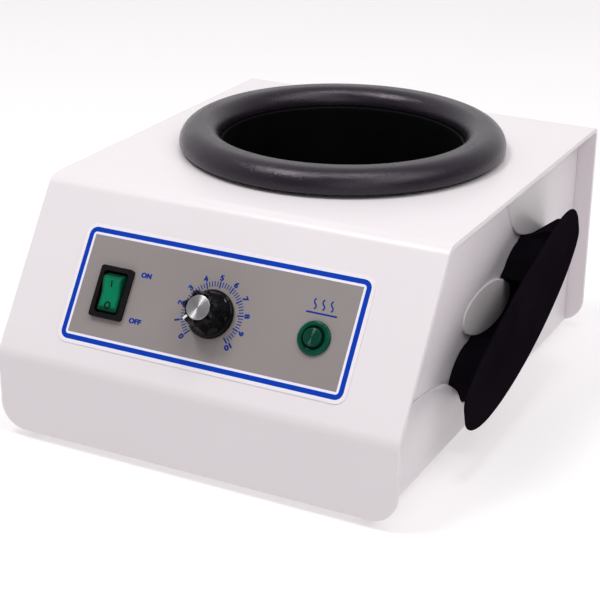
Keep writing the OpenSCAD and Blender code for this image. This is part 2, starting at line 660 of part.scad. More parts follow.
outer_shell();
base_plate();
side_panel_left();
side_panel_right();
handle_left();
handle_right();
handle_screws();
side_panel_screws();
collar_ring();
collar_screws();
heating_well();
band_heater();
band_clamp_screw();
heater_terminals();
insulation_jacket();
insulation_pad();
well_support();
support_screws();
thermal_cutout();
heat_shield();
shield_screws();
control_label();
thermostat_body();
bush_nut();
control_shaft();
knob();
knob_cap();
sensor_bulb();
sensor_capillary();
switch_housing();
switch_rocker();
switch_terminals();
lamp_body();
lamp_lens();
lamp_nut();
inlet_socket();
inlet_pins();
inlet_screws();
terminal_block();
fuse_holder();
fuse();
earth_stud();
wiring_supply();
wiring_front();
wiring_heater();
rubber_feet();
foot_screws();
base_screws();
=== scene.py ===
import json
import math

import bmesh
import bpy
import numpy as np
from mathutils import Matrix, Vector


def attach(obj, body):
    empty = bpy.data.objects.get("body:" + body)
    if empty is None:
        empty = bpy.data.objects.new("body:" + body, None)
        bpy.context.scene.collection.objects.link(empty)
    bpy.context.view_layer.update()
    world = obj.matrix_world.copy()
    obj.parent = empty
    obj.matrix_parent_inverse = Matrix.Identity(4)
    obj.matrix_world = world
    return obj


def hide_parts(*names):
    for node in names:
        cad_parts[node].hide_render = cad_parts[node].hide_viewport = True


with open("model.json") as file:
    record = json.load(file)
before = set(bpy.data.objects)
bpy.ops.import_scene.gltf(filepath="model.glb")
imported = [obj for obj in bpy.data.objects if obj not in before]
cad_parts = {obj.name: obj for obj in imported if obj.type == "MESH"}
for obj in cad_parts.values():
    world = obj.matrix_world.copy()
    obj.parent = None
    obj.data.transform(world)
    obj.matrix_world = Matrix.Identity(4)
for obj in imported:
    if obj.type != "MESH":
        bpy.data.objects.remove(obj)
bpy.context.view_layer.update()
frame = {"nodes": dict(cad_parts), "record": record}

NODES = frame["nodes"]
MM = 0.001

# ------------------------------------------------------------------ sizes, in mm, as in the CAD
HALF_W, DEPTH, HEIGHT, FRONT_H, RUN = 90.0, 222.0, 98.0, 34.0, 43.0
MIDY, FOOT = (222 + 2.6) / 2, 3.5
SLOPE_A = math.atan2(HEIGHT - FRONT_H, RUN)
CA, SA = math.cos(SLOPE_A), math.sin(SLOPE_A)
WELL_Y = 136.4
RING_R, RING_H, WELL_R = 72.0, 11.1, 53.0
DIAL = (1.0, 33.0)
SWITCH = (-45.0, 33.0)
LAMP = (46.0, 32.5)
PIVOT_H = -2.2
CHEEK_X = 82.0


def P(x, y, z):
    """case coordinates in mm to the frame, in metres"""
    return Vector((x, y - MIDY, z + FOOT)) * MM


def slope_matrix(x=0.0, s=0.0, h=0.0):
    """frame of the sloping face, in metres: x across, y up the slope, z out of the face"""
    o = P(x, s * CA - h * SA, FRONT_H + s * SA + h * CA)
    return Matrix(((1, 0, 0, o.x), (0, CA, -SA, o.y), (0, SA, CA, o.z), (0, 0, 0, 1)))


# ------------------------------------------------------------------ camera
scene = bpy.context.scene
cam_data = bpy.data.cameras.new("camera")
cam = bpy.data.objects.new("camera", cam_data)
scene.collection.objects.link(cam)
cam_data.sensor_width = 36
cam_data.lens = 1662.08 / 600 * 36
cam_data.clip_start, cam_data.clip_end = 0.02, 30
right = Vector((0.89082, 0.454206, 0.01168))
down = Vector((0.184106, -0.337342, -0.923204))
ahead = Vector((-0.415385, 0.824559, -0.384133))
rot = Matrix((right, -down, -ahead)).transposed()
cam.matrix_world = Matrix.Translation(P(301.25, -501.32, 317.59)) @ rot.to_4x4()
scene.camera = cam
scene.view_settings.view_transform = "Standard"
scene.view_settings.look = "None"

# ------------------------------------------------------------------ materials


def lin(r, g, b):
    """8-bit screen colour to linear"""
    f = lambda c: (c / 255) / 12.92 if c / 255 <= 0.04045 else ((c / 255 + 0.055) / 1.055) ** 2.4
    return (f(r), f(g), f(b))


class Mat:
    """A principled material with mottled colour, uneven roughness and fine bump."""

    def __init__(self, name, base, rough=0.4, metallic=0.0, spec=0.5, coat=0.0, coat_rough=0.08):
        self.m = bpy.data.materials.new(name)
        self.m.use_nodes = True
        self.t = self.m.node_tree
        self.t.nodes.clear()
        self.out = self.t.nodes.new("ShaderNodeOutputMaterial")
        self.b = self.t.nodes.new("ShaderNodeBsdfPrincipled")
        self.t.links.new(self.b.outputs[0], self.out.inputs[0])
        self.base = base
        self.b.inputs["Base Color"].default_value = (*base, 1)
        self.b.inputs["Roughness"].default_value = rough
        self.b.inputs["Metallic"].default_value = metallic
        self.b.inputs["Specular IOR Level"].default_value = spec
        self.b.inputs["Coat Weight"].default_value = coat
        self.b.inputs["Coat Roughness"].default_value = coat_rough
        self.rough = rough
        self.co = self.t.nodes.new("ShaderNodeTexCoord").outputs["Object"]
        self.normal = None

    def node(self, kind, **kw):
        n = self.t.nodes.new(kind)
        for k, v in kw.items():
            if k in n.inputs:
                n.inputs[k].default_value = v
            else:
                setattr(n, k, v)
        return n

    def link(self, a, b):
        self.t.links.new(a, b)

    def noise(self, scale, detail=2.0, rough=0.5, co=None):
        n = self.node("ShaderNodeTexNoise", Scale=scale, Detail=detail, Roughness=rough)
        self.link(co or self.co, n.inputs["Vector"])
        return n.outputs["Fac"]

    def remap(self, v, a, b, c, d):
        n = self.node("ShaderNodeMapRange")
        self.link(v, n.inputs["Value"])
        for k, x in (("From Min", a), ("From Max", b), ("To Min", c), ("To Max", d)):
            n.inputs[k].default_value = x
        return n.outputs[0]

    def math(self, op, a, b=None):
        n = self.node("ShaderNodeMath", operation=op)
        for i, v in enumerate((a, b)):
            if v is None:
                continue
            if isinstance(v, (int, float)):
                n.inputs[i].default_value = v
            else:
                self.link(v, n.inputs[i])
        return n.outputs[0]

    def mix(self, fac, a, b):
        n = self.node("ShaderNodeMix", data_type="RGBA")
        if isinstance(fac, (int, float)):
            n.inputs[0].default_value = fac
        else:
            self.link(fac, n.inputs[0])
        for i, v in ((6, a), (7, b)):
            if isinstance(v, (tuple, list)):
                n.inputs[i].default_value = (*v[:3], 1)
            else:
                self.link(v, n.inputs[i])
        return n.outputs[2]

    def mottle(self, amount=0.04, scale=35, detail=3.0):
        """slow colour variation round the base colour"""
        lo = tuple(c * (1 - amount) for c in self.base)
        hi = tuple(min(1, c * (1 + amount)) for c in self.base)
        self.colour = self.mix(self.remap(self.noise(scale, detail), 0.3, 0.7, 0, 1), lo, hi)
        self.link(self.colour, self.b.inputs["Base Color"])
        return self

    def tint(self, fac, colour):
        """lays a colour over the present one where fac is high"""
        self.colour = self.mix(fac, self.colour, colour)
        self.link(self.colour, self.b.inputs["Base Color"])
        return self

    def uneven(self, amount=0.05, scale=60):
        self.link(self.remap(self.noise(scale, 4), 0.3, 0.7, self.rough - amount, self.rough + amount), self.b.inputs["Roughness"])
        return self

    def bump(self, scale, strength, distance=0.0002, detail=2.0, kind="noise"):
        if kind == "noise":
            h = self.noise(scale, detail)
        else:
            v = self.node("ShaderNodeTexVoronoi", Scale=scale)
            self.link(self.co, v.inputs["Vector"])
            h = v.outputs["Distance"]
        b = self.node("ShaderNodeBump", Strength=strength, Distance=distance)
        self.link(h, b.inputs["Height"])
        if self.normal:
            self.link(self.normal, b.inputs["Normal"])
        self.normal = b.outputs[0]
        self.link(self.normal, self.b.inputs["Normal"])
        if self.b.inputs["Coat Weight"].default_value > 0:
            self.link(self.normal, self.b.inputs["Coat Normal"])
        return self

    def low_dust(self, z0, z1, colour, amount):
        """a darker tint towards the bottom of the object, broken up by noise"""
        s = self.node("ShaderNodeSeparateXYZ")
        self.link(self.co, s.inputs[0])
        g = self.remap(s.outputs["Z"], z0, z1, amount, 0)
        g = self.math("MULTIPLY", g, self.remap(self.noise(90, 4), 0.35, 0.75, 0.2, 1))
        return self.tint(g, colour)

    def edge_wear(self, colour, radius=0.0006, amount=0.5, scale=400):
        """paler line along the edges, broken up by noise: rubbed wear, and on the black handle a painted highlight
        along its rim
        """
        bev = self.node("ShaderNodeBevel", samples=4)
        bev.inputs["Radius"].default_value = radius
        geo = self.node("ShaderNodeNewGeometry")
        dot = self.node("ShaderNodeVectorMath", operation="DOT_PRODUCT")
        self.link(bev.outputs[0], dot.inputs[0])
        self.link(geo.outputs["Normal"], dot.inputs[1])
        edge = self.remap(dot.outputs["Value"], 0.995, 0.9, 0, amount)
        edge = self.math("MULTIPLY", edge, self.remap(self.noise(scale, 4), 0.42, 0.62, 0, 1))
        return self.tint(edge, colour)


MATS = {}
MATS["white_paint"] = Mat("white_paint", (0.728, 0.683, 0.706), 0.42, spec=0.30, coat=0.14, coat_rough=0.15) \
    .mottle(0.010, 14).low_dust(0.002, 0.02, (0.6, 0.57, 0.57), 0.05).uneven(0.03, 30).bump(240, 0.03, 0.0002).bump(1500, 0.012, 0.0001)
MATS["white_plastic"] = Mat("white_plastic", (0.77, 0.708, 0.740), 0.32, spec=0.40) \
    .mottle(0.008, 18).low_dust(0.002, 0.02, (0.6, 0.57, 0.57), 0.05).uneven(0.015, 25).bump(900, 0.008, 0.0001)
MATS["white_plastic"].b.inputs["Subsurface Weight"].default_value = 0.35
MATS["white_plastic"].b.inputs["Subsurface Radius"].default_value = (1.0, 0.85, 0.9)
MATS["white_plastic"].b.inputs["Subsurface Scale"].default_value = 0.007
MATS["zinc_sheet"] = Mat("zinc_sheet", (0.60, 0.61, 0.62), 0.38, metallic=0.9) \
    .mottle(0.10, 60).uneven(0.12, 120).bump(300, 0.05, 0.0003)
# the handle's paler edge line is a painted highlight along its rim
MATS["black_plastic"] = Mat("black_plastic", (0.0066, 0.0050, 0.0078), 0.5, spec=0.0) \
    .mottle(0.2, 30).edge_wear((0.034, 0.031, 0.036), 0.0010, 0.6).uneven(0.07, 70).bump(1900, 0.10, 0.00012)
MATS["grey_plastic"] = Mat("grey_plastic", (0.0125, 0.0090, 0.0150), 0.245, spec=0.42) \
    .mottle(0.10, 45).edge_wear((0.12, 0.11, 0.12), 0.0008, 0.3).uneven(0.05, 80).bump(1650, 0.75, 0.00020, detail=1.5)
MATS["grey_plastic"].b.inputs["Specular Tint"].default_value = (1.0, 0.90, 1.0, 1)
MATS["black_anodised"] = Mat("black_anodised", (0.0012, 0.0011, 0.0014), 0.62, metallic=0.0, spec=0.06) \
    .mottle(0.3, 60).uneven(0.1, 90).bump(900, 0.1, 0.0001)
MATS["heater_steel"] = Mat("heater_steel", (0.5, 0.47, 0.42), 0.35, metallic=0.95).mottle(0.2, 40).uneven(0.1, 70).bump(700, 0.05)
MATS["white_ceramic"] = Mat("white_ceramic", (0.80, 0.77, 0.70), 0.6).mottle(0.05, 90).uneven(0.1, 90).bump(900, 0.1)
MATS["fibre_wool"] = Mat("fibre_wool", (0.72, 0.68, 0.55), 0.95, spec=0.1).mottle(0.2, 180, 5).uneven(0.04, 90).bump(1200, 0.9, 0.0012, 5)
MATS["bakelite"] = Mat("bakelite", (0.10, 0.05, 0.03), 0.45).mottle(0.25, 120).uneven(0.08, 90).bump(900, 0.06)
MATS["label_film"] = Mat("label_film", lin(138, 131, 130), 0.52, spec=0.12) \
    .mottle(0.03, 26).uneven(0.05, 60).bump(3800, 0.05, 0.00006)
MATS["thermostat_metal"] = Mat("thermostat_metal", (0.6, 0.6, 0.58), 0.33, metallic=0.95).mottle(0.1, 60).uneven(0.1, 90).bump(500, 0.05)
MATS["nickel"] = Mat("nickel", (0.70, 0.68, 0.64), 0.24, metallic=1.0).mottle(0.06, 80).uneven(0.08, 150).bump(1500, 0.04, 0.0001)
MATS["knob_plastic"] = Mat("knob_plastic", (0.0005, 0.0004, 0.0006), 0.10, spec=0.11) \
    .mottle(0.3, 60).uneven(0.04, 140).bump(700, 0.03, 0.0001)
MATS["copper"] = Mat("copper", (0.72, 0.38, 0.24), 0.30, metallic=1.0).mottle(0.18, 90).uneven(0.1, 120).bump(900, 0.05)
MATS["switch_black"] = Mat("switch_black", (0.0065, 0.0052, 0.0065), 0.36, spec=0.10) \
    .mottle(0.2, 80).edge_wear((0.06, 0.055, 0.06), 0.0004, 0.3).uneven(0.06, 150).bump(2600, 0.12, 0.0001)
MATS["green_plastic"] = Mat("green_plastic", (0.0004, 0.175, 0.080), 0.20, spec=0.14) \
    .mottle(0.15, 130).uneven(0.04, 150).bump(1500, 0.03, 0.00008)
MATS["brass"] = Mat("brass", (0.75, 0.56, 0.26), 0.28, metallic=1.0).mottle(0.12, 90).uneven(0.1, 130).bump(900, 0.05)
MATS["lamp_green_rim"] = Mat("lamp_green_rim", (0.001, 0.15, 0.075), 0.14, spec=0.25) \
    .mottle(0.2, 160).uneven(0.03, 150).bump(1500, 0.03, 0.00008)
MATS["green_lens"] = Mat("green_lens", (0.0001, 0.060, 0.034), 0.07, spec=0.15) \
    .mottle(0.25, 220).uneven(0.03, 150).bump(1500, 0.03, 0.00008)
MATS["white_nylon"] = Mat("white_nylon", (0.78, 0.76, 0.70), 0.45).mottle(0.04, 90).uneven(0.07, 90).bump(1100, 0.05)
MATS["glass_fuse"] = Mat("glass_fuse", (0.75, 0.80, 0.80), 0.08, spec=0.6).mottle(0.04, 90).uneven(0.02, 90).bump(600, 0.02)
MATS["wire_brown"] = Mat("wire_brown", (0.13, 0.055, 0.03), 0.5).mottle(0.15, 120).uneven(0.07, 90).bump(900, 0.05)
MATS["wire_blue"] = Mat("wire_blue", (0.03, 0.08, 0.36), 0.5).mottle(0.15, 120).uneven(0.07, 90).bump(900, 0.05)
MATS["wire_red"] = Mat("wire_red", (0.45, 0.08, 0.05), 0.8).mottle(0.2, 300).uneven(0.07, 90).bump(2200, 0.5, 0.0003)
MATS["rubber"] = Mat("rubber", (0.025, 0.025, 0.026), 0.75, spec=0.3).mottle(0.2, 120).uneven(0.08, 90).bump(1300, 0.2, 0.0002)
MATS["screw_steel"] = Mat("screw_steel", (0.66, 0.66, 0.65), 0.28, metallic=1.0).mottle(0.08, 160).uneven(0.1, 200).bump(1200, 0.06)


def edge_shade(m, colour, centre, half_x, half_s, amount):
    """painted shade: darkens a small moulding towards its sides and ends, where its rounded edges fall into shadow"""
    sub = m.node("ShaderNodeVectorMath", operation="SUBTRACT")
    m.link(m.co, sub.inputs[0])
    sub.inputs[1].default_value = slope_matrix(*centre, 0).translation
    sep = m.node("ShaderNodeSeparateXYZ")
    m.link(sub.outputs[0], sep.inputs[0])
    dot = m.node("ShaderNodeVectorMath", operation="DOT_PRODUCT")
    m.link(sub.outputs[0], dot.inputs[0])
    dot.inputs[1].default_value = (0, CA, SA)
    fx = m.remap(m.math("ABSOLUTE", sep.outputs["X"]), half_x[0] * MM, half_x[1] * MM, 0, amount)
    fs = m.remap(m.math("ABSOLUTE", dot.outputs["Value"]), half_s[0] * MM, half_s[1] * MM, 0, amount)
    return m.tint(m.math("MAXIMUM", fx, fs), colour)


def ring_shade(m, colour, centre, r0, r1, soft, amount):
    """painted shade: darkens a turned moulding between two radii from its axis"""
    sub = m.node("ShaderNodeVectorMath", operation="SUBTRACT")
    m.link(m.co, sub.inputs[0])
    sub.inputs[1].default_value = slope_matrix(*centre, 0).translation
    cr = m.node("ShaderNodeVectorMath", operation="CROSS_PRODUCT")
    m.link(sub.outputs[0], cr.inputs[0])
    cr.inputs[1].default_value = (0, -SA, CA)
    ln = m.node("ShaderNodeVectorMath", operation="LENGTH")
    m.link(cr.outputs[0], ln.inputs[0])
    r = ln.outputs["Value"]
    up = m.remap(r, (r0 - soft) * MM, (r0 + soft) * MM, 0, 1)
    down = m.remap(r, (r1 - soft) * MM, (r1 + soft) * MM, 1, 0)
    return m.tint(m.math("MULTIPLY", m.math("MULTIPLY", up, down), amount), colour)


# painted shade on the lens: the centre dome darker, and a darker band for the shadowed groove round it
ring_shade(MATS["green_lens"], (0.0002, 0.040, 0.024), LAMP, -1.0, 3.7, 0.3, 0.9)
ring_shade(MATS["green_lens"], (0.0001, 0.010, 0.006), LAMP, 3.8, 5.0, 0.3, 0.95)
# painted shade on the rocker's sides and ends
edge_shade(MATS["green_plastic"], (0.0004, 0.020, 0.010), SWITCH, (3.0, 4.4), (5.2, 6.6), 0.85)

BLUE = Mat("blue_print", lin(0, 56, 168), 0.42, spec=0.1).mottle(0.04, 60).uneven(0.05, 80).bump(3600, 0.04, 0.00006)
BLUE_TEXT = Mat("blue_ink", lin(14, 46, 132), 0.45, spec=0.10).mottle(0.05, 120).uneven(0.05, 120).bump(3600, 0.04, 0.00006)
WHITE_PRINT = Mat("white_print", lin(226, 222, 236), 0.42, spec=0.4).mottle(0.02, 60).uneven(0.05, 80).bump(3600, 0.04, 0.00006)
FILM_EDGE = Mat("film_edge", lin(228, 223, 228), 0.30, spec=0.5).mottle(0.012, 40).uneven(0.05, 80).bump(3000, 0.03, 0.00006)
POINTER = Mat("pointer_white", lin(226, 222, 222), 0.35).mottle(0.04, 200).uneven(0.05, 200).bump(2500, 0.06, 0.00006)
DARK_PRINT = Mat("dark_print", (0.0012, 0.0030, 0.0025), 0.4, spec=0.15).mottle(0.2, 200).uneven(0.05, 200).bump(2500, 0.06, 0.00006)


def spun_metal(name):
    """turned aluminium: fine rings and the hourglass glint of a lathe-cut face"""
    m = Mat(name, (0.42, 0.41, 0.42), 0.36, metallic=1.0)
    m.mottle(0.03, 300)
    m.b.inputs["Anisotropic"].default_value = 1.0
    sub = m.node("ShaderNodeVectorMath", operation="SUBTRACT")
    m.link(m.co, sub.inputs[0])
    sub.inputs[1].default_value = slope_matrix(DIAL[0], DIAL[1], 13.5).translation
    nrm = m.node("ShaderNodeVectorMath", operation="NORMALIZE")
    m.link(sub.outputs[0], nrm.inputs[0])
    m.link(nrm.outputs[0], m.b.inputs["Tangent"])
    ln = m.node("ShaderNodeVectorMath", operation="LENGTH")
    m.link(sub.outputs[0], ln.inputs[0])
    w = m.node("ShaderNodeTexNoise", noise_dimensions="1D", Scale=9000.0, Detail=1.0)
    m.link(ln.outputs["Value"], w.inputs["W"])
    b = m.node("ShaderNodeBump", Strength=0.12, Distance=0.00004)
    m.link(w.outputs["Fac"], b.inputs["Height"])
    m.link(b.outputs[0], m.b.inputs["Normal"])
    return m


MATS["brushed_cap"] = spun_metal("brushed_cap")

# ------------------------------------------------------------------ mesh helpers


def new_object(name, bm, mats, body, replaces=(), angle=35, matrix=None):
    if matrix is not None:
        bm.transform(matrix)
    bmesh.ops.recalc_face_normals(bm, faces=bm.faces)
    me = bpy.data.meshes.new(name)
    bm.to_mesh(me)
    bm.free()
    ob = bpy.data.objects.new(name, me)
    scene.collection.objects.link(ob)
    for m in mats:
        me.materials.append(m.m)
    smooth(me, angle)
    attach(ob, body)
    if replaces:
        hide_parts(*replaces)
    return ob


def smooth(me, angle=35):
    me.polygons.foreach_set("use_smooth", [True] * len(me.polygons))
    if hasattr(me, "set_sharp_from_angle"):
        me.set_sharp_from_angle(angle=math.radians(angle))


def add_mod(ob, kind, name, **kw):
    m = ob.modifiers.new(name, kind)
    for k, v in kw.items():
        setattr(m, k, v)
    return m


def lathe(profile, segs=160, modulate=None):
    """closed (r, h) outline turned round the z axis, in mm; modulate(theta, r, h) may change r"""
    bm = bmesh.new()
    rings = []
    for i in range(segs):
        th = 2 * math.pi * i / segs
        row = []
        for r, h in profile:
            q = modulate(th, r, h) if modulate and r > 1e-6 else r
            row.append((q * math.cos(th), q * math.sin(th), h))
        rings.append(row)
    n = len(profile)
    axis_pts = {}
    vs = [[None] * n for _ in range(segs)]
    for j, (r, h) in enumerate(profile):
        if r < 1e-6:
            axis_pts[j] = bm.verts.new((0, 0, h * MM))
    for i in range(segs):
        for j in range(n):
            vs[i][j] = axis_pts[j] if j in axis_pts else bm.verts.new([c * MM for c in rings[i][j]])
    for i in range(segs):
        a, b = vs[i], vs[(i + 1) % segs]
        for j in range(n):
            k = (j + 1) % n
            if j in axis_pts and k in axis_pts:
                continue
            face = []
            for v in (a[j], b[j], b[k], a[k]):
                if v not in face:
                    face.append(v)
            if len(face) >= 3:
                bm.faces.new(face)
    return bm


def arc(cx, cz, r, a0, a1, n):
    return [(cx + r * math.cos(math.radians(a0 + (a1 - a0) * i / n)), cz + r * math.sin(math.radians(a0 + (a1 - a0) * i / n)))
            for i in range(n + 1)]


def rounded_rect(w, h, r, n=6, cx=0.0, cy=0.0):
    pts = []
    for (sx, sy, a) in ((1, 1, 0), (-1, 1, 90), (-1, -1, 180), (1, -1, 270)):
        for i in range(n + 1):
            t = math.radians(a + 90 * i / n)
            pts.append((cx + sx * (w / 2 - r) + r * math.cos(t), cy + sy * (h / 2 - r) + r * math.sin(t)))
    return pts


def prism(bm, pts, z0, z1, mat=0, bevel=0.0):
    """closed upright prism over a flat outline, in mm; the top edge may be bevelled"""
    n = len(pts)
    c = np.array(pts, float)
    rows = [(c, z0), (c, z1 - bevel)]
    if bevel > 0:
        nxt, prv = np.roll(c, -1, 0), np.roll(c, 1, 0)
        d = nxt - prv
        d /= np.linalg.norm(d, axis=1)[:, None] + 1e-12
        nrm = np.stack([-d[:, 1], d[:, 0]], 1)
        rows.append((c + nrm * bevel * 0.35, z1 - bevel * 0.3))
        rows.append((c + nrm * bevel, z1))
    else:
        rows[1] = (c, z1)
    vs = [[bm.verts.new((p[0] * MM, p[1] * MM, z * MM)) for p in q] for q, z in rows]
    f = [bm.faces.new(list(reversed(vs[0]))), bm.faces.new(vs[-1])]
    for a, b in zip(vs, vs[1:]):
        for i in range(n):
            f.append(bm.faces.new((a[i], a[(i + 1) % n], b[(i + 1) % n], b[i])))
    for x in f:
        x.material_index = mat


def spline(pts, k=6):
    out = []
    m = len(pts)
    p = [np.array(q, float) for q in pts]
    for i in range(m - 1):
        a, b, c, d = p[max(i - 1, 0)], p[i], p[i + 1], p[min(i + 2, m - 1)]
        for j in range(k):
            t = j / k
            out.append(0.5 * (2 * b + (c - a) * t + (2 * a - 5 * b + 4 * c - d) * t * t + (3 * b - 3 * c + d - a) * t ** 3))
    out.append(p[-1])
    return out


# ------------------------------------------------------------------ carried-over CAD nodes
SLOT = {s["node"]: s["material_slot"] for s in frame["record"]["subparts"]}
for name, ob in NODES.items():
    ob.data.materials.clear()
    ob.data.materials.append(MATS[SLOT[name]].m)
    smooth(ob.data, 32)


def dress(name, width, segs=2, angle=32, weld=1e-6):
    """rounds the sharp edges of a carried-over CAD node"""
    ob = NODES[name]
    add_mod(ob, "WELD", "weld", merge_threshold=weld)
    flat = add_mod(ob, "DECIMATE", "flats", decimate_type="DISSOLVE", angle_limit=math.radians(0.3))
    flat.delimit = set()
    add_mod(ob, "BEVEL", "bevel", width=width * MM, segments=segs, limit_method="ANGLE", angle_limit=math.radians(angle),
            use_clamp_overlap=True, miter_outer="MITER_ARC")
    add_mod(ob, "WEIGHTED_NORMAL", "normals", keep_sharp=False, weight=100)
    return ob


for n, w in (("outer_shell", 0.45), ("base_plate", 0.25), ("switch_housing", 0.28), ("inlet_socket", 0.35),
             ("inlet_pins", 0.2), ("inlet_screws", 0.15), ("rubber_feet", 0.3), ("base_screws", 0.3), ("foot_screws", 0.3)):
    dress(n, w)

# ------------------------------------------------------------------ side cheeks: soft-edged scalloped mouldings
RECESS = ([(-6, 104), (-6, 37.4)]
          + [tuple(p) for p in spline([(1, 37.4), (18, 37.2), (31, 36.4), (38, 35.4), (48, 34.2), (56, 32.3), (65, 30), (69, 28),
                                       (74, 25), (78, 22), (81, 18.6), (83.2, 15.3), (85, 13.4), (87.4, 12.6), (90.4, 13.1)], 6)]
          + [tuple(p) for p in spline([(96, 16.4), (104, 22), (114, 28), (126, 33.5), (140, 40), (154, 46.5), (168, 51.5),
                                       (174, 54.4), (177.6, 57.4)], 4)]
          + [tuple(p) for p in spline([(178.2, 60), (174.5, 61.5), (168, 62.5), (158, 64.5), (149, 67), (144, 69), (140, 71.5),
                                       (135.5, 75), (132, 79.5), (129, 84.5), (126, 89.5), (124, 97)], 6)]
          + [(124, 104)])


def top_of_cheek(y):
    """upper limit of the cheek at a given y, inside the folded case"""
    t = 2.2
    slope_z = FRONT_H + (y * math.tan(SLOPE_A)) - t / math.cos(SLOPE_A)
    top = HEIGHT - t
    # blend the bend with its inner radius
    r = 5.3
    yc = RUN + t * math.tan(SLOPE_A / 2) + r * math.tan(SLOPE_A / 2)
    ys = yc - r * math.sin(SLOPE_A)
    if y < ys:
        return slope_z
    if y < yc:
        return top - r + math.sqrt(max(r * r - (yc - y) ** 2, 0))
    back = DEPTH - t
    rb = 1.8
    if y > back - rb:
        return top - rb + math.sqrt(max(rb * rb - (y - back + rb) ** 2, 0))
    return top


def plate(bm, pts, x0, x1, side, soft):
    """upright plate over a closed (y, z) outline; its outer rim is rounded over the width soft, in mm"""
    c = np.array(pts, float)
    area = 0.5 * float(np.sum(c[:, 0] * np.roll(c[:, 1], -1) - np.roll(c[:, 0], -1) * c[:, 1]))
    if area < 0:
        c = c[::-1]
    e = np.roll(c, -1, 0) - c
    e /= np.linalg.norm(e, axis=1)[:, None] + 1e-12
    nrm = np.stack([-e[:, 1], e[:, 0]], 1)
    m = nrm + np.roll(nrm, 1, 0)
    m /= np.linalg.norm(m, axis=1)[:, None] + 1e-12
    m *= np.clip(1 / np.clip((m * nrm).sum(1), 0.3, 1), 1, 1.6)[:, None]
    rows = [(c, x0)]
    for k in range(5):
        t = math.radians(90 * k / 4)
        rows.append((c + m * soft * (1 - math.cos(t)), x1 - soft * (1 - math.sin(t))))
    vs = [[bm.verts.new(Vector((side * x * MM, *P(0, y, z)[1:]))) for y, z in q] for q, x in rows]
    n = len(c)
    bm.faces.new(list(reversed(vs[0])))
    bm.faces.new(vs[-1])
    for a, b in zip(vs, vs[1:]):
        for i in range(n):
            bm.faces.new((a[i], a[(i + 1) % n], b[(i + 1) % n], b[i]))


def cheek(name, side):
    upper = [(y, top_of_cheek(y)) for y in np.concatenate([np.linspace(2.2, 38, 8), np.linspace(39, 52, 26), np.linspace(60, 216, 40),
                                                           np.linspace(217.6, 219.8, 10)])]
    bm = bmesh.new()
    ys = np.concatenate([np.linspace(2.2, 46, 30), np.linspace(50, 216, 60), np.linspace(217.6, 219.8, 8)])
    grid = [[(y, 0.2 + k * (top_of_cheek(y) - 0.2)) for k in np.linspace(0, 1, 40)] for y in ys]

    def floor_x(y, z):
        p = -(y - 109.6) * 0.4210 + (z - 47.5) * 0.9070
        k = min(1.0, max(0.0, p / 15.0))
        return CHEEK_X - 2 + 1.35 * k * k * (3 - 2 * k)

    vs = [[bm.verts.new((side * floor_x(y, z) * MM, *P(0, y, z)[1:])) for y, z in col] for col in grid]
    for a, b in zip(vs, vs[1:]):
        for i in range(len(a) - 1):
            bm.faces.new((a[i], b[i], b[i + 1], a[i + 1]))
    rim = [c[0] for c in vs] + vs[-1][1:] + [c[-1] for c in reversed(vs[:-1])] + list(reversed(vs[0][1:-1]))
    back = [bm.verts.new((side * (CHEEK_X - 4) * MM, v.co.y, v.co.z)) for v in rim]
    for i in range(len(rim)):
        bm.faces.new((rim[i], rim[(i + 1) % len(rim)], back[(i + 1) % len(rim)], back[i]))
    bm.faces.new(back)
    low = [p for p in RECESS[1:-1] if p[0] > 2.2 and p[1] < top_of_cheek(p[0]) - 0.3]
    # the raised field: below and behind the scalloped line
    field = [(2.2, 0.2), (2.2, 37.4)] + low + [(124.2, top_of_cheek(124))] + [q for q in upper if q[0] > 126] + [(219.8, 0.2)]
    if field[1][1] > top_of_cheek(2.2):
        # the line leaves the cheek through the slope
        y = 2.2
        while top_of_cheek(y) < 37.35:
            y += 0.05
        field = [(2.2, 0.2), (2.2, top_of_cheek(2.2)), (y, top_of_cheek(y))] + [q for q in low if q[0] > y + 0.5] + field[field.index(low[-1]) + 1:]
    plate(bm, field, CHEEK_X - 2.6, CHEEK_X, side, 0.4)
    t = math.radians(-7)
    oval = []
    for k in range(96):
        w = 2 * math.pi * k / 96
        u, v = 27.6 * math.cos(w), 10.6 * math.sin(w)
        oval.append((109.6 + u * math.cos(t) - v * math.sin(t), 47.5 + u * math.sin(t) + v * math.cos(t)))
    plate(bm, oval, CHEEK_X - 2.6, CHEEK_X, side, 0.4)
    return new_object(name, bm, [MATS["white_plastic"]], "housing",
                      ["side_panel_right" if side > 0 else "side_panel_left"], angle=30)


cheek("cheek_right", 1)
cheek("cheek_left", -1)

# ------------------------------------------------------------------ handles: the CAD form, remeshed and eased


def handle(node, name):
    src = NODES[node]
    me = src.data.copy()
    me.name = name
    me.materials.clear()
    me.materials.append(MATS["black_plastic"].m)
    ob = bpy.data.objects.new(name, me)
    scene.collection.objects.link(ob)
    add_mod(ob, "WELD", "weld", merge_threshold=1e-6)
    add_mod(ob, "REMESH", "remesh", mode="VOXEL", voxel_size=0.00062, use_smooth_shade=True)
    add_mod(ob, "SMOOTH", "ease", factor=0.5, iterations=5)
    dg = bpy.context.evaluated_depsgraph_get()
    made = bpy.data.meshes.new_from_object(ob.evaluated_get(dg))
    ob.modifiers.clear()
    ob.data = made
    made.name = name
    made.materials.clear()
    made.materials.append(MATS["black_plastic"].m)
    made.polygons.foreach_set("use_smooth", [True] * len(made.polygons))
    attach(ob, "housing")
    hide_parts(node)
    return ob


handle("handle_right", "leaf_right")
handle("handle_left", "leaf_left")

